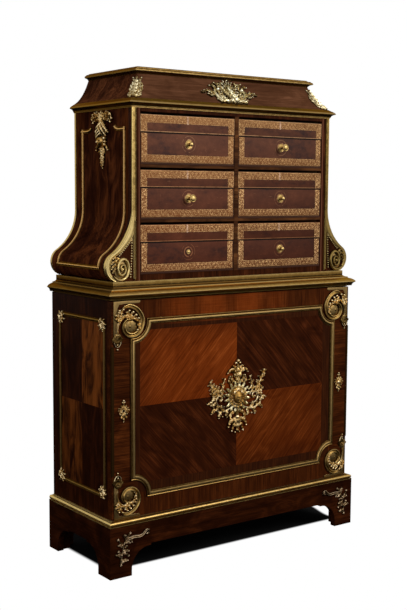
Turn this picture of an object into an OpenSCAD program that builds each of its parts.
// Cartonnier: a cupboard with one door below, six leather boxes with falling fronts above.
// X runs across the front, the front faces -Y, Z is up. The origin is under the middle.

/* [Levels] */
// Height of the plinth and its bracket feet
plinth_h = 155; // [130:1:200]
// Height of the moulding on the plinth, and thickness of the case's bottom board
base_moulding_h = 16; // [14:1:24]
// Height of the lower case from its bottom board to the waist
lower_h = 649; // [560:1:760]
// Height of the moulding at the waist
waist_moulding_h = 29; // [26:1:36]
// Height of the plain band over that moulding
waist_band_h = 24; // [18:1:36]
// Height of the moulding under the frieze
cornice_h = 28; // [26:1:36]
// Height of the hollow frieze
frieze_h = 75; // [60:1:100]
// Height of the top moulding
top_h = 21; // [20:1:28]

/* [Boxes] */
// Width of a box
box_w = 346; // [300:1:420]
// Height of a box
box_h = 145; // [130:1:180]
// Depth of a box
box_d = 315; // [260:1:340]
// Thickness of a box's sides, back and lid
box_wall = 3; // [2:0.5:6]
// Thickness of a box's base, which shows under its flap
box_base_t = 5; // [4:0.5:8]
// Height of the lid's front strip
lid_h = 50; // [36:1:60]
// Thickness of the falling front and of the lid's front strip
flap_t = 8; // [6:0.5:12]
// Gap between the lid's strip and the flap
flap_gap = 1; // [0.5:0.1:2]
// Radius of the wire that the flap turns on
flap_pin_r = 1.2; // [0.8:0.1:1.6]
// Travel of a box out of its place
box_travel = 240; // [120:10:240]

/* [Knobs] */
// Radius of a knob's round plate
knob_plate_r = 13; // [8:0.5:16]
// Radius of a whole knob's head
knob_head_r = 11.5; // [6:0.5:14]
// How far a whole knob stands out
knob_reach = 27; // [18:1:32]
// How far a knob without its head stands out
stub_reach = 16; // [10:1:20]

/* [Upper case] */
// Thickness of the upright between the two columns of boxes
divider_t = 15; // [10:1:24]
// Thickness of the walls beside the boxes
compartment_t = 12; // [8:1:18]
// Thickness of the shaped outer sides
side_t = 17; // [12:1:24]
// Thickness of the floor under the lowest boxes
floor_t = 18; // [12:1:26]
// Thickness of the shelves between boxes
shelf_t = 8; // [6:0.5:14]
// Height left free over each box
head_gap = 7.7; // [4:0.1:12]
// Thickness of the board over the boxes
ceiling_t = 10; // [8:1:18]
// Depth of the frame round the boxes, front to back
frame_t = 20; // [14:1:30]
// How far the boxes' faces lie behind the front
face_recess = 1.5; // [0.5:0.5:6]
// Room left behind a box
back_air = 8.5; // [4:0.5:20]
// Thickness of the back panels
back_t = 10; // [6:1:16]

/* [Console] */
// Height over the waist where the sides begin to swell
swell_h = 206; // [190:1:250]
// Radius of the round end of the swelling
console_r = 42.5; // [34:0.5:44]
// How far the swelling stands out past the lower case
console_over = 5; // [0:0.5:10]

/* [Lower case] */
// Step out from the upper case to the lower one, each side
shoulder_w = 84; // [70:1:96]
// Step out from the upper front to the lower front
front_step = 21; // [10:1:40]
// Thickness of the sides and top of the lower case
board_t = 20; // [16:1:26]
// Height of the lower shelf over the bottom board
shelf_level = 300; // [200:5:400]
// Thickness of the lower shelf
lower_shelf_t = 16; // [12:1:22]
// Depth of the grooves that hold the lower shelf
groove_d = 6; // [4:1:10]

/* [Plinth] */
// How far the plinth stands out past the lower case
plinth_reach = 17; // [14:1:21]
// Thickness of the plinth boards
plinth_t = 20; // [16:1:28]
// Width of a front foot on the front
foot_w = 75; // [60:1:100]
// Width of the feet at the back of the sides
back_foot_w = 56; // [50:1:70]
// Straight height of a foot's inner edge
foot_straight_h = 19; // [10:1:30]
// Radius of the curve inside a foot
foot_curve_r = 62; // [40:1:66]
// Small step between that curve and the straight underside
apron_step = 6; // [3:1:10]

/* [Door] */
// Thickness of the door
door_t = 24; // [20:1:30]
// Air between the door's back and the case
door_gap = 0.5; // [0.3:0.1:1]
// Air over and under the door
door_play = 1.5; // [1:0.1:3]
// Width of the door's stiles and rails
stile_w = 76; // [70:1:90]
// Thickness of the door's panel
panel_t = 14; // [10:1:18]
// Width of the gilt moulding on the door
door_moulding_w = 17; // [12:1:22]
// Radius of the moulding's hollow corners
door_corner_r = 57; // [50:1:66]
// Place of the door's middle mount across the front
door_middle = -8; // [-20:1:20]

/* [Hinges and lock] */
// Radius of the hinge pins
pin_r = 2; // [1.5:0.1:2.5]
// Radial running clearance on the pins
pin_clear = 0.05; // [0.02:0.01:0.1]
// Outer radius of the hinge knuckles
knuckle_r = 4.5; // [4:0.1:6]
// Length of a hinge
hinge_l = 76; // [50:1:100]
// Thickness of a hinge leaf
leaf_t = 2; // [1.5:0.1:3]
// Width of a hinge leaf on the wood
leaf_w = 15; // [12:1:17]
// Distance of each hinge's middle from the end of the door
hinge_inset = 110; // [80:1:160]
// Depth of the lock's case
lock_t = 14; // [12:0.5:20]
// Throw of the lock's bolt
bolt_throw = 9; // [6:0.5:10]

/* [Gilt mounts] */
// How far the door's middle mount stands out
mask_reach = 24; // [24:1:30]
// How far the masks on the sides stand out
side_mask_reach = 22; // [16:1:26]
// Thickness of a flat mount
mount_t = 4; // [3:0.5:6]
// Thickness of a scrolled mount
scroll_t = 9; // [6:0.5:12]
// Width of the mouldings on the sides
bead_w = 13; // [8:0.5:16]
// How far the mouldings on the sides stand out
bead_t = 4; // [3:0.5:6]
// How much nearer the front the mouldings and masks on the sides lie than the middle
side_lead = 6; // [0:0.5:10]
// Width of the strip on the upper front corners
strip_w = 17; // [12:0.5:20]
// Width of that strip's return on the side
strip_return = 13; // [6:0.5:18]

/* [Hidden] */
rows = 3;
columns = 2;
$fn = 48;
arc_steps = 12;
skin = 1;

seat_gap = 0.3;
side_air = 0.5;
run_gap = 0.3;
hair = 0.1;
lap = 1.5;
strip_end = -72;

row_pitch = seat_gap + box_h + head_gap + shelf_t;
upper_h = floor_t + rows * row_pitch - shelf_t + ceiling_t;

z_bottom = plinth_h;
z_lower = z_bottom + base_moulding_h;
z_waist = z_lower + lower_h;
z_band = z_waist + waist_moulding_h;
z_upper = z_band + waist_band_h;
z_cornice = z_upper + upper_h;
z_frieze = z_cornice + cornice_h;
z_top = z_frieze + frieze_h;
total_h = z_top + top_h;

column_w = box_w + 2 * side_air;
inner_x = divider_t / 2 + column_w;
wall_x = inner_x + compartment_t;
upper_x = wall_x + side_t;
lower_x = upper_x + shoulder_w;
plinth_x = lower_x + plinth_reach;

upper_d = face_recess + box_d + back_air + back_t;
lower_d = upper_d + front_step;
foot_mount_t = 6;
front_reach = max(mask_reach, plinth_reach + foot_mount_t);
back_y = (lower_d + front_reach) / 2;
front_y = back_y - lower_d;
upper_y = back_y - upper_d;
frame_y = upper_y + frame_t;
joint_y = front_y + door_t + door_gap;
door_back_y = front_y + door_t;
face_y = upper_y + face_recess;

console_x = lower_x + console_over - console_r;
console_z = z_upper + console_r;
swell_z = z_upper + swell_h;
swell_a = upper_x - console_x;
swell_b = swell_z - console_z;
swell_r = (swell_a * swell_a + swell_b * swell_b - console_r * console_r)
    / (2 * (console_r - swell_a));
swell_turn = atan2(swell_b, swell_r + swell_a);

frieze_set = 51;
top_set = 61;
waist_set = 3;
band_set = 14.5;
waist_over = 17.5;

door_z0 = z_lower + door_play;
door_z1 = z_waist - door_play;
door_mid_z = (door_z0 + door_z1) / 2;
panel_x = lower_x - stile_w;
moulding_x = lower_x - 71.5;
moulding_in = 64;

knuckle_air = 0.2;
hinge_x = lower_x + knuckle_r + knuckle_air;
hinge_y = joint_y - door_gap / 2;
hinge_z = [door_z0 + hinge_inset, door_z1 - hinge_inset];
knuckle_h = 0.2 * hinge_l;
knuckle_gap = 0.25;

lock_z = door_mid_z;
lock_x = lower_x - 39;
lock_w = 58;
lock_h = 86;
lock_side_x = lower_x - board_t - 2;
bolt_z = lock_z + 18;
bolt_l = 34;
bolt_h = 18;
bolt_t = 8;
bolt_y = door_back_y + lock_t / 2;
keyhole_r = 3.5;

flap_z = box_base_t + run_gap;
flap_h = box_h - lid_h - flap_z - flap_gap;
flap_w = box_w - 2 * box_wall - 2 * run_gap;
barrel_r = flap_t / 2;
knob_z = box_base_t + 57;

gilt = "#a98a3c";
pale_gilt = "#c9ac62";
mahogany = "#4a2014";
flame = "#8a4526";
dark_wood = "#2c1510";
oak = "#8c6a44";
hide = "#5a3028";
steel = "#8c8a84";

// Bodies of the six boxes, numbered from the top left
function box_nodes(i) = [str("box_", i, "_tray"), str("box_", i, "_flap"), str("box_", i, "_knob")];
box_names = [for (i = [1:rows * columns]) for (name = box_nodes(i)) name];

// Points of an arc, from one angle to another
function arc(cx, cy, r, a0, a1, n = arc_steps) =
    [for (i = [0:n]) let (a = a0 + (a1 - a0) * i / n) [cx + r * cos(a), cy + r * sin(a)]];

function backwards(list) = [for (i = [len(list) - 1:-1:0]) list[i]];

// A quadratic curve from a to c that leans towards b
function bend(a, b, c, n = arc_steps) =
    [for (i = [0:n]) let (t = i / n) (1 - t) * (1 - t) * a + 2 * t * (1 - t) * b + t * t * c];

// Outline of the swelling side, out by off, from z_from down to the angle a_end on its round end
function swell(off, z_from, a_end) = concat(
    [[upper_x + off, z_from]],
    arc(upper_x + swell_r, swell_z, swell_r - off, 180, 180 + swell_turn),
    arc(console_x, console_z, console_r + off, swell_turn, a_end, 2 * arc_steps));

// Hollow face of the frieze, as distances out from the upper case and heights
function frieze_face(off) = bend(
    [off - 0.5, z_frieze], [off - 30, z_frieze + 0.23 * frieze_h], [off - frieze_set, z_top]);

module both_sides() {
    children();
    mirror([1, 0, 0]) children();
}

// A flat shape and its mirror image
module both_ways() {
    children();
    mirror([1, 0]) children();
}

// Plan of a front length, mitred at both ends, between two distances from the case
module front_plan(x, y, near, far, joint) {
    right = [[x + far - joint, y - far], [x + near - joint, y - near]];
    polygon(concat(right, backwards([for (p = right) [-p[0], p[1]]])));
}

// Plan of a side length, mitred at the front
module side_plan(x, y, near, far) {
    polygon([[x + near, back_y + skin], [x + far, back_y + skin], [x + far, y - far],
        [x + near, y - near]]);
}

// A profile (distance out, height) run along the front, with a hairline joint at each mitre
module front_length(x, y, near, far, joint = hair) {
    intersection() {
        translate([-x - far, y, 0]) rotate([90, 0, 90])
            linear_extrude(2 * (x + far)) mirror([1, 0]) children();
        translate([0, 0, -skin]) linear_extrude(total_h + 2 * skin)
            front_plan(x, y, near - skin, far + skin, joint);
    }
}

// The same profile run along the right side
module side_length(x, y, near, far) {
    intersection() {
        translate([x, back_y, 0]) rotate([90, 0, 0]) linear_extrude(back_y - y + far) children();
        translate([0, 0, -skin]) linear_extrude(total_h + 2 * skin)
            side_plan(x, y, near - skin, far + skin);
    }
}

// The profile on the front and on both sides
module three_lengths(x, y, near, far) {
    front_length(x, y, near, far) children();
    both_sides() side_length(x, y, near, far) children();
}

// A flat shape in X and Z that stands out from y towards the viewer
module on_front(y, t) {
    translate([0, y, 0]) rotate([90, 0, 0]) linear_extrude(t) children();
}

// A flat shape in Y and Z that stands out from x to the right
module on_side(x, t) {
    translate([x, 0, 0]) rotate([90, 0, 90]) linear_extrude(t) children();
}

// A board given by its low and high corners
module board(a, b) {
    translate(a) cube(b - a);
}

// Opening between two bracket feet, from a to b, under a straight apron
module foot_opening(a, b) {
    r = foot_curve_r;
    h = foot_straight_h;
    polygon(concat(
        [[a, -skin], [a, h]], arc(a + r, h, r, 180, 90),
        [[a + r + apron_step, h + r], [a + r + apron_step, h + r + apron_step],
            [b - r - apron_step, h + r + apron_step], [b - r - apron_step, h + r]],
        arc(b - r, h, r, 90, 0), [[b, -skin]]));
}

module plinth_front() {
    color(mahogany) difference() {
        front_length(lower_x, front_y, plinth_reach - plinth_t, plinth_reach)
            translate([plinth_reach - plinth_t, 0]) square([plinth_t, plinth_h]);
        on_front(front_y + plinth_t, 2 * plinth_t + plinth_reach)
            foot_opening(foot_w - plinth_x, plinth_x - foot_w);
    }
}

module plinth_boards() {
    back_x = plinth_x - plinth_t;
    color(mahogany) both_sides() difference() {
        side_length(lower_x, front_y, plinth_reach - plinth_t, plinth_reach)
            translate([plinth_reach - plinth_t, 0]) square([plinth_t, plinth_h]);
        on_side(back_x - skin, plinth_t + 2 * skin)
            foot_opening(front_y - plinth_reach + foot_w - 6, back_y - back_foot_w);
    }
    color(oak) difference() {
        board([hair - back_x, back_y - plinth_t, 0], [back_x - hair, back_y, plinth_h]);
        on_front(back_y + skin, plinth_t + 2 * skin)
            foot_opening(foot_w - plinth_x, plinth_x - foot_w);
    }
}

module foot_blocks() {
    block = 34;
    x = plinth_x - plinth_t;
    front = front_y - plinth_reach + plinth_t;
    color(oak) both_sides() {
        board([x - block, front, 0], [x, front + block, plinth_h]);
        board([x - block + 6, back_y - plinth_t - block + 6, 0], [x, back_y - plinth_t, plinth_h]);
    }
}

// Leafy scroll on each front foot
module foot_mounts() {
    x = plinth_x;
    color(gilt) both_sides() on_front(front_y - plinth_reach, foot_mount_t)
        polygon([[x - 25, 8], [x - 40, 14], [x - 46, 40], [x - 62, 68], [x - 92, 92],
            [x - 128, 112], [x - 120, 128], [x - 92, 132], [x - 62, 122], [x - 40, 142],
            [x - 24, 128], [x - 30, 96], [x - 20, 60], [x - 26, 34]]);
}

module base_moulding() {
    r = 0.38 * base_moulding_h;
    color(gilt) three_lengths(lower_x, front_y, 0, plinth_reach) translate([0, z_bottom])
        polygon(concat([[0, 0], [plinth_reach, 0], [plinth_reach, 2.5], [plinth_reach - 2, 2.5]],
            arc(plinth_reach - r - 0.6, 2.5 + r, r, -75, 100),
            [[4, base_moulding_h - 1.2], [4, base_moulding_h], [0, base_moulding_h]]));
}

module lower_bottom() {
    color(oak) board([-lower_x, front_y, z_bottom], [lower_x, back_y, z_lower]);
}

// The right side is let in for the hinges, the left one has a pocket for the lock's bolt
module lower_sides() {
    side_in = lower_x - board_t;
    play = 1.5;
    half_t = bolt_t / 2 + play;
    half_h = bolt_h / 2 + play;
    color(mahogany) difference() {
        both_sides() difference() {
            board([side_in, joint_y, z_lower], [lower_x, back_y, z_waist]);
            board([side_in - skin, joint_y + 2 * board_t, z_lower + shelf_level],
                [side_in + groove_d, back_y - back_t, z_lower + shelf_level + lower_shelf_t]);
        }
        for (z = hinge_z)
            board([lower_x - leaf_w, joint_y - skin, z - hinge_l / 2 - run_gap],
                [lower_x + skin, joint_y + leaf_t, z + hinge_l / 2 + run_gap]);
        board([-side_in - bolt_throw, bolt_y - half_t, bolt_z - half_h],
            [skin - side_in, bolt_y + half_t, bolt_z + half_h]);
    }
}

module lower_back() {
    color(oak) board([board_t - lower_x, back_y - back_t, z_lower],
        [lower_x - board_t, back_y, z_waist - board_t]);
}

module lower_top() {
    color(oak) board([board_t - lower_x, joint_y, z_waist - board_t],
        [lower_x - board_t, back_y, z_waist]);
}

module lower_shelf() {
    x = lower_x - board_t + groove_d;
    z = z_lower + shelf_level;
    color(oak) board([-x, joint_y + 2 * board_t, z], [x, back_y - back_t, z + lower_shelf_t]);
}

// Moulding round each lower side, with a clasp at each corner
module lower_side_mouldings() {
    margin = 46;
    clasp_r = 18;
    clasp_in = 8;
    y0 = front_y + margin - side_lead;
    y1 = back_y - margin - side_lead;
    z0 = z_lower + 66;
    z1 = z_waist - 62;
    clasp_room = clasp_r - 1;
    color(gilt) both_sides() {
        for (z = [z0, z1]) board([lower_x, y0 + clasp_room, z - bead_w / 2],
            [lower_x + bead_t, y1 - clasp_room, z + bead_w / 2]);
        for (y = [y0, y1]) board([lower_x, y - bead_w / 2, z0 + clasp_room],
            [lower_x + bead_t, y + bead_w / 2, z1 - clasp_room]);
        for (y = [y0 + clasp_in, y1 - clasp_in]) for (z = [z0 + clasp_in, z1 - clasp_in])
            translate([lower_x, y, z]) rotate([0, 90, 0]) cylinder(r = clasp_r, h = bead_t + 3);
    }
}

module door_frame() {
    rail_x = panel_x - hair;
    color(mahogany) difference() {
        both_sides() board([panel_x, front_y, door_z0], [lower_x, door_back_y, door_z1]);
        for (z = hinge_z)
            board([lower_x - leaf_w, door_back_y - leaf_t, z - hinge_l / 2 - run_gap],
                [lower_x + skin, door_back_y + skin, z + hinge_l / 2 + run_gap]);
        translate([-lock_x, front_y - skin, lock_z]) rotate([-90, 0, 0])
            cylinder(r = keyhole_r, h = door_t + 2 * skin);
    }
    color(mahogany) {
        board([-rail_x, front_y, door_z1 - stile_w], [rail_x, door_back_y, door_z1]);
        board([-rail_x, front_y, door_z0], [rail_x, door_back_y, door_z0 + stile_w]);
    }
}

module door_panel() {
    color(flame) board([-panel_x, front_y, door_z0 + stile_w],
        [panel_x, front_y + panel_t, door_z1 - stile_w]);
}

// The panel's moulding as a flat shape: an oblong with hollow corners, grown by off
module hollow_cornered(off) {
    z0 = z_lower + moulding_in;
    z1 = z_waist - moulding_in;
    difference() {
        translate([-moulding_x - off, z0 - off])
            square([2 * (moulding_x + off), z1 - z0 + 2 * off]);
        for (x = [-moulding_x, moulding_x]) for (z = [z0, z1])
            translate([x, z]) circle(r = door_corner_r - off);
    }
}

module door_moulding() {
    color(gilt) on_front(front_y, 7) difference() {
        hollow_cornered(door_moulding_w / 2);
        hollow_cornered(-door_moulding_w / 2);
    }
}

// Scroll, leaves and edge plate on one corner of the door; up is 1 at the top, -1 at the bottom
module door_corner_mount(up) {
    x = lower_x - 62;
    z = up > 0 ? door_z1 - 74 : door_z0 + 74;
    end = up > 0 ? door_z1 : door_z0;
    color(gilt) union() {
        translate([x, front_y, z]) rotate([90, 0, 0]) cylinder(r = 27, h = scroll_t);
        translate([x, front_y, z]) rotate([90, 0, 0]) cylinder(r = 9, h = scroll_t + 4);
        on_front(front_y, mount_t) polygon([[lower_x, end], [lower_x - 100, end],
            [lower_x - 92, end - up * 22], [lower_x - 60, end - up * 30], [x, z + up * 20],
            [x + 30, z], [lower_x - 16, z - up * 30], [lower_x - 12, z - up * 56],
            [lower_x, z - up * 56]]);
    }
}

module door_corner_mounts() {
    both_sides() for (up = [1, -1]) door_corner_mount(up);
}

// Rayed head between leaf scrolls in the middle of the door
module door_mask_mount() {
    z = door_mid_z - 2;
    color(pale_gilt) translate([door_middle, 0, 0]) union() {
        translate([0, front_y, z]) rotate([90, 0, 0]) cylinder(r = 40, h = scroll_t);
        intersection() {
            translate([0, front_y - 5, z]) scale([18, mask_reach - 5, 24]) sphere(r = 1);
            board([-40, front_y - 2 * mask_reach, z - 40], [40, front_y - 1, z + 40]);
        }
        on_front(front_y, scroll_t - 2) polygon([[0, z - 112], [14, z - 90], [26, z - 60],
            [48, z - 44], [84, z - 40], [112, z - 24], [102, z - 6], [84, z + 6], [96, z + 26],
            [124, z + 44], [112, z + 66], [78, z + 58], [56, z + 42], [30, z + 50], [22, z + 84],
            [0, z + 120], [-22, z + 84], [-30, z + 50], [-56, z + 42], [-78, z + 58],
            [-112, z + 66], [-124, z + 44], [-96, z + 26], [-84, z + 6], [-102, z - 6],
            [-112, z - 24], [-84, z - 40], [-48, z - 44], [-26, z - 60], [-14, z - 90]]);
    }
}

// Lozenge plates on the door's stiles; the left one has the keyhole
module door_rosettes() {
    w = 21;
    h = 34;
    color(gilt) difference() {
        both_sides() translate([lock_x, 0, lock_z]) on_front(front_y, mount_t)
            polygon([[0, -h], [6, -h / 2], [w, -4], [w, 4], [6, h / 2], [0, h], [-6, h / 2],
                [-w, 4], [-w, -4], [-6, -h / 2]]);
        translate([-lock_x, front_y - mount_t - skin, lock_z]) rotate([-90, 0, 0])
            cylinder(r = keyhole_r, h = mount_t + 2 * skin);
    }
}

// Angle strips on the door's front edges between the corner mounts
module door_edge_strips() {
    t = 1.5;
    room = 132;
    color(gilt) both_sides() difference() {
        board([lower_x - 7, front_y - t, door_z0 + room], [lower_x + t, front_y + 5, door_z1 - room]);
        board([lower_x - 8, front_y, door_z0], [lower_x, front_y + 6, door_z1]);
    }
}

module door_lock() {
    channel_x = -lock_side_x;
    color(steel) difference() {
        board([-lock_side_x, door_back_y, lock_z - lock_h / 2],
            [-lock_side_x + lock_w, door_back_y + lock_t, lock_z + lock_h / 2]);
        board([channel_x - skin, bolt_y - bolt_t / 2 - run_gap, bolt_z - bolt_h / 2 - run_gap],
            [channel_x + bolt_l + run_gap, bolt_y + bolt_t / 2 + run_gap,
                bolt_z + bolt_h / 2 + run_gap]);
        translate([-lock_x, door_back_y - skin, lock_z]) rotate([-90, 0, 0])
            cylinder(r = keyhole_r, h = lock_t + 2 * skin);
    }
}

module lock_bolt() {
    color(pale_gilt) board([-lock_side_x, bolt_y - bolt_t / 2, bolt_z - bolt_h / 2],
        [-lock_side_x + bolt_l, bolt_y + bolt_t / 2, bolt_z + bolt_h / 2]);
}

// A hinge leaf from y0 to y1 with a knuckle over each of the given stretches of its height
module hinge_leaf(y0, y1, stretches) {
    difference() {
        union() {
            board([lower_x - leaf_w, y0, -hinge_l / 2], [lower_x - knuckle_air, y1, hinge_l / 2]);
            for (ends = stretches) {
                board([lower_x - leaf_w, y0, ends[0]], [hinge_x, y1, ends[1]]);
                translate([hinge_x, hinge_y, ends[0]]) cylinder(r = knuckle_r, h = ends[1] - ends[0]);
            }
        }
        translate([hinge_x, hinge_y, -hinge_l]) cylinder(r = pin_r + pin_clear, h = 2 * hinge_l);
    }
}

module case_hinge_leaves() {
    inner_end = knuckle_h + knuckle_gap;
    color(pale_gilt) for (z = hinge_z) translate([0, 0, z])
        hinge_leaf(joint_y, joint_y + leaf_t,
            [[-hinge_l / 2, -inner_end], [inner_end, hinge_l / 2]]);
}

module door_hinge_leaves() {
    color(pale_gilt) for (z = hinge_z) translate([0, 0, z])
        hinge_leaf(door_back_y - leaf_t, door_back_y, [[-knuckle_h, knuckle_h]]);
}

module hinge_pins() {
    tip = 3;
    color(steel) for (z = hinge_z) translate([hinge_x, hinge_y, z]) {
        translate([0, 0, -hinge_l / 2]) cylinder(r = pin_r, h = hinge_l);
        for (end = [-hinge_l / 2 - tip, hinge_l / 2])
            translate([0, 0, end]) cylinder(r = knuckle_r - 1, h = tip);
    }
}

module waist_board() {
    color(dark_wood) {
        board([waist_set - lower_x, front_y + waist_set, z_waist],
            [lower_x - waist_set, back_y, z_band]);
        board([band_set + 6 - lower_x, front_y + band_set + 6, z_band],
            [lower_x - band_set - 6, back_y, z_upper]);
    }
}

// The pointed moulding and the plain band over it
module waist_mouldings() {
    tip = waist_moulding_h * 0.62;
    color(gilt) three_lengths(lower_x, front_y, -waist_set, waist_over) translate([0, z_waist])
        polygon(concat([[-waist_set, 3]], bend([8, 3], [9, 12], [waist_over, tip - 2]),
            bend([waist_over, tip], [12, tip + 8], [-1, waist_moulding_h]),
            [[-waist_set, waist_moulding_h]]));
    color(gilt) three_lengths(lower_x, front_y, -band_set - 6, -1.5) translate([0, z_band])
        polygon(concat([[-band_set - 6, 0], [-1.5, 0]],
            bend([-1.5, 3.5], [-11, 4], [-band_set, 9]),
            [[-band_set, waist_band_h], [-band_set - 6, waist_band_h]]));
}

module upper_floor() {
    color(oak) board([-wall_x, frame_y, z_upper], [wall_x, back_y - back_t, z_upper + floor_t]);
}

module upper_sides() {
    outer = swell(0, z_cornice, -90);
    inner = swell(-side_t, z_cornice, -90);
    color(mahogany) both_sides()
        translate([0, back_y - back_t, 0]) rotate([90, 0, 0])
            linear_extrude(back_y - back_t - frame_y) polygon(concat(outer, backwards(inner)));
}

module compartment_walls() {
    color(oak) both_sides() board([inner_x, frame_y, z_upper + floor_t],
        [wall_x, back_y - back_t, z_cornice - ceiling_t]);
}

// The whole outline of the upper case, front or back
module upper_outline() {
    right = swell(0, z_cornice, -90);
    polygon(concat(right, backwards([for (p = right) [-p[0], p[1]]])));
}

module upper_back() {
    color(oak) on_front(back_y, back_t) upper_outline();
}

module upper_ceiling() {
    color(oak) board([-wall_x, frame_y, z_cornice - ceiling_t], [wall_x, back_y - back_t, z_cornice]);
}

module centre_divider() {
    color(dark_wood) board([-divider_t / 2, upper_y, z_upper + floor_t],
        [divider_t / 2, back_y - back_t, z_cornice - ceiling_t]);
}

module box_shelves() {
    color(dark_wood) both_sides() for (row = [1:rows - 1]) {
        z = z_upper + floor_t + row * row_pitch - shelf_t;
        board([divider_t / 2, upper_y + skin, z], [inner_x, back_y - back_t, z + shelf_t]);
    }
}

// Stiles with their swelling ends, and the rails over and under the boxes
module front_frame() {
    right = swell(0, z_cornice, -90);
    rail_x = inner_x - hair;
    color(dark_wood) {
        both_sides() on_front(frame_y, frame_t)
            polygon(concat(right, [[inner_x, z_upper], [inner_x, z_cornice]]));
        board([-rail_x, upper_y, z_upper], [rail_x, frame_y, z_upper + floor_t]);
        board([-rail_x, upper_y, z_cornice - ceiling_t], [rail_x, frame_y, z_cornice]);
    }
}

// Gilt angle strip down the front corner that swells over the dark spandrel into a scroll
module console_mounts() {
    scroll_x = lower_x - 46;
    scroll_z = console_z - 7;
    edge_x = upper_x + lap - strip_w;
    bead_x = upper_x + 2;
    outer = swell(lap, z_cornice, strip_end);
    color(gilt) both_sides() union() {
        on_front(upper_y, 3) difference() {
            polygon(concat(outer, [[edge_x + 2, z_upper], [edge_x + 2, z_upper + 120],
                [edge_x, z_upper + 200], [edge_x, z_cornice]]));
            polygon([[bead_x, z_upper + 118], [bead_x + 24, z_upper + 88], [bead_x + 40, z_upper + 66],
                [bead_x + 24, z_upper + 62], [bead_x + 10, z_upper + 44], [bead_x + 6, z_upper + 22],
                [bead_x, z_upper + 14]]);
        }
        swell_ribbon(lap, upper_y - skin, upper_y + strip_return, z_cornice, strip_end);
        translate([scroll_x, upper_y, scroll_z]) rotate([90, 0, 0]) cylinder(r = 27, h = scroll_t);
        translate([scroll_x, upper_y, scroll_z]) rotate([90, 0, 0]) cylinder(r = 8, h = scroll_t + 4);
    }
}

// A ribbon that follows the swelling side, between two places along Y
module swell_ribbon(t, y0, y1, z_from, a_end) {
    translate([0, y1, 0]) rotate([90, 0, 0]) linear_extrude(y1 - y0)
        polygon(concat(swell(t, z_from, a_end), backwards(swell(hair, z_from, a_end))));
}

// Moulding with a raised, hollow-shouldered head on each upper side, and the back edge strip
module upper_side_mouldings() {
    margin = 47;
    top = z_cornice - 60;
    rise = 41;
    low = -4;
    half_turn = asin(bead_w / 2 / console_r);
    shoulder_y = 35;
    plume_w = 65.5;
    mid = (upper_y + back_y) / 2 - side_lead;
    half = (back_y - upper_y) / 2 - margin + bead_w / 2;
    y0 = mid - half;
    y1 = mid + half;
    color(gilt) both_sides() {
        union() {
            swell_ribbon(bead_t, y0, y0 + bead_w, top, low - half_turn);
            swell_ribbon(bead_t, y1 - bead_w, y1, top, low - half_turn);
            translate([0, y1, 0]) rotate([90, 0, 0]) linear_extrude(y1 - y0)
                polygon(concat(
                    arc(console_x, console_z, console_r + bead_t, low + half_turn,
                        low - half_turn, 4),
                    arc(console_x, console_z, console_r + hair, low - half_turn, low + half_turn, 4)));
            on_side(upper_x, bead_t) translate([mid, top]) both_ways() {
                translate([half - shoulder_y, -bead_w / 2]) square([shoulder_y, bead_w]);
                intersection() {
                    translate([half - shoulder_y, rise]) difference() {
                        circle(r = rise + bead_w / 2);
                        circle(r = rise - bead_w / 2);
                    }
                    translate([plume_w, -bead_w]) square([half - shoulder_y - plume_w, rise]);
                }
            }
        }
        swell_ribbon(lap, back_y - back_t, back_y, z_cornice, strip_end);
    }
}

// Plumed head with a husk pendant on each upper side
module side_mask_mounts() {
    mid = (upper_y + back_y) / 2 - side_lead;
    z = z_cornice;
    color(pale_gilt) both_sides() translate([0, mid, 0]) union() {
        on_side(upper_x, mount_t + 2) polygon([[0, z - 170], [8, z - 158], [14, z - 130],
            [24, z - 104], [30, z - 74], [32, z - 44], [50, z - 46], [64, z - 28], [56, z - 12],
            [30, z - 8], [12, z - 3], [-12, z - 3], [-30, z - 8], [-56, z - 12], [-64, z - 28],
            [-50, z - 46], [-32, z - 44], [-30, z - 74], [-24, z - 104], [-14, z - 130],
            [-8, z - 158]]);
        intersection() {
            translate([upper_x + 3, 0, z - 76]) scale([side_mask_reach - 3, 19, 26]) sphere(r = 1);
            board([upper_x + 1, -30, z - 110], [upper_x + 2 * side_mask_reach, 30, z - 40]);
        }
    }
}

module cornice_moulding() {
    tip = cornice_h / 2;
    color(gilt) three_lengths(upper_x, upper_y, -2, 17) translate([0, z_cornice])
        polygon(concat([[-2, 0], [3, 0], [3, 3], [5, 3]], bend([5, 5], [7, 11], [16.5, tip - 1]),
            [[17, tip]], bend([15, tip + 4], [6, tip + 10], [-0.5, cornice_h]), [[-2, cornice_h]]));
}

module frieze() {
    inner = top_set + 10;
    color(mahogany) three_lengths(upper_x, upper_y, -inner, -0.5)
        polygon(concat([[-inner, z_cornice], [-2, z_cornice], [-2, z_frieze]], frieze_face(0),
            [[-inner, z_top]]));
    color(oak) board([inner + hair - upper_x, back_y - back_t, z_cornice],
        [upper_x - inner - hair, back_y, z_top]);
}

// Skin over the hollow of the frieze, which its mounts are cut from
module frieze_skin(t) {
    polygon(concat(frieze_face(t), backwards(frieze_face(0))));
}

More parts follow.
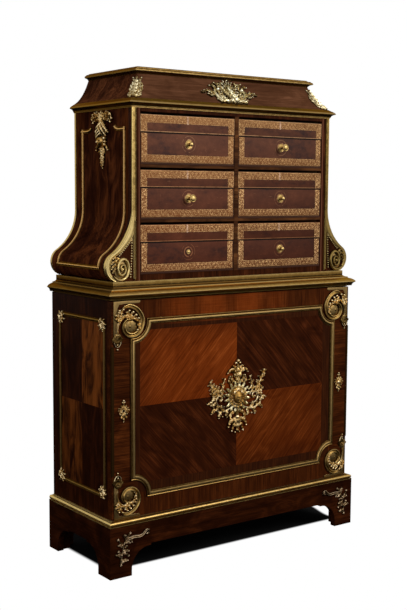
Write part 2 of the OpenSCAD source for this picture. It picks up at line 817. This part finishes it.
// A leaf on each front corner of the frieze and a shell between scrolls in its middle
module frieze_mounts() {
    t = 7;
    leaf_across = 54;
    color(pale_gilt) both_sides() intersection() {
        union() {
            front_length(upper_x, upper_y, -frieze_set, t, 0) frieze_skin(t);
            side_length(upper_x, upper_y, -frieze_set, t) frieze_skin(t);
        }
        translate([upper_x, upper_y, z_frieze + 2]) rotate([0, 0, 45])
            translate([-leaf_across / 2, -20, 0]) cube([leaf_across, 150, frieze_h - 4]);
    }
    color(pale_gilt) intersection() {
        translate([-120, upper_y, 0]) rotate([90, 0, 90]) linear_extrude(240) mirror([1, 0])
            frieze_skin(t);
        on_front(upper_y + 100, 200) translate([0, z_frieze]) polygon([[0, 3], [24, 8], [46, 20],
            [76, 22], [104, 32], [106, 46], [84, 50], [58, 44], [34, 56], [20, 72], [-20, 72],
            [-34, 56], [-58, 44], [-84, 50], [-106, 46], [-104, 32], [-76, 22], [-46, 20],
            [-24, 8]]);
    }
}

module top_moulding() {
    color(gilt) three_lengths(upper_x, upper_y, -top_set, -37) translate([0, z_top])
        polygon(concat([[-top_set, 0], [-50, 0]], bend([-49, 1.5], [-46, 6], [-38, 7]),
            bend([-37, 9], [-37.5, 14], [-43, 15]), [[-43, 17]],
            bend([-45, 17], [-51, 18], [-53, top_h]), [[-top_set, top_h]]));
}

module top_board() {
    color(mahogany) board([top_set - upper_x, upper_y + top_set, z_top],
        [upper_x - top_set, back_y, total_h]);
}

// Left edge and underside of box i: 1 and 2 are the top row, odd numbers stand on the left
function box_left(i) = i % 2 == 1 ? -divider_t / 2 - side_air - box_w : divider_t / 2 + side_air;
function box_row(i) = rows - ceil(i / 2);
function box_bottom(i) = z_upper + floor_t + seat_gap + box_row(i) * row_pitch;

module in_box(i) {
    translate([box_left(i), face_y, box_bottom(i)]) children();
}

// Base, sides and back, with the wire for the flap and the lid with its front strip
module box_tray(i) {
    lid_z = box_h - box_wall;
    split_z = box_h - lid_h;
    axis_z = flap_z + barrel_r;
    seam = 2 * hair;
    color(hide) in_box(i) {
        difference() {
            union() {
                cube([box_w, box_d, box_base_t]);
                board([0, box_d - box_wall, 0], [box_w, box_d, lid_z - seam]);
                for (x = [0, box_w - box_wall]) {
                    board([x, flap_t + seam, 0], [x + box_wall, box_d, lid_z - seam]);
                    board([x, 0, 0], [x + box_wall, box_d, split_z - flap_gap]);
                }
            }
            translate([-skin, barrel_r, axis_z]) rotate([0, 90, 0])
                cylinder(r = flap_pin_r + pin_clear, h = box_w + 2 * skin);
        }
        board([0, 0, lid_z], [box_w, box_d, box_h]);
        board([0, 0, split_z], [box_w, flap_t, lid_z]);
    }
    color(steel) in_box(i) translate([0.5, barrel_r, axis_z]) rotate([0, 90, 0])
        cylinder(r = flap_pin_r, h = box_w - 1);
}

// The falling front turns on the wire in its rounded lower edge
module box_flap(i) {
    color(hide) in_box(i) translate([box_wall + run_gap, 0, flap_z]) difference() {
        rotate([90, 0, 90]) linear_extrude(flap_w)
            polygon(concat([[0, flap_h]], arc(barrel_r, barrel_r, barrel_r, 180, 360),
                [[flap_t, flap_h]]));
        translate([-skin, barrel_r, barrel_r]) rotate([0, 90, 0])
            cylinder(r = flap_pin_r + pin_clear, h = flap_w + 2 * skin);
    }
}

// Two knobs are whole, three have lost their heads and one is down to its stud
knob_kinds = ["stub", "whole", "whole", "stub", "stud", "stub"];

module box_knob(i) {
    kind = knob_kinds[i - 1];
    plate_t = 2.5;
    head_t = 7;
    color(pale_gilt) in_box(i) translate([box_w / 2, 0, knob_z]) rotate([90, 0, 0]) union() {
        if (kind == "stud") {
            cylinder(r = 4, h = 3.5);
            cylinder(r = 7, h = 1.2);
        } else {
            reach = kind == "whole" ? knob_reach : stub_reach;
            cylinder(r = knob_plate_r, h = plate_t);
            cylinder(r = 3.5, h = reach - 1);
            if (kind == "whole") translate([0, 0, reach - head_t])
                cylinder(r1 = knob_head_r - 2, r2 = knob_head_r, h = head_t);
            else translate([0, 0, reach - 5]) cylinder(r = 5, h = 5);
        }
    }
}

plinth_front();
plinth_boards();
foot_blocks();
foot_mounts();
base_moulding();
lower_bottom();
lower_sides();
lower_back();
lower_top();
lower_shelf();
lower_side_mouldings();
door_frame();
door_panel();
door_moulding();
door_corner_mounts();
door_mask_mount();
door_rosettes();
door_edge_strips();
door_lock();
lock_bolt();
case_hinge_leaves();
door_hinge_leaves();
hinge_pins();
waist_board();
waist_mouldings();
upper_floor();
upper_sides();
compartment_walls();
upper_back();
upper_ceiling();
centre_divider();
box_shelves();
front_frame();
console_mounts();
upper_side_mouldings();
side_mask_mounts();
cornice_moulding();
frieze();
frieze_mounts();
top_moulding();
top_board();
for (i = [1:rows * columns]) {
    box_tray(i);
    box_flap(i);
    box_knob(i);
}
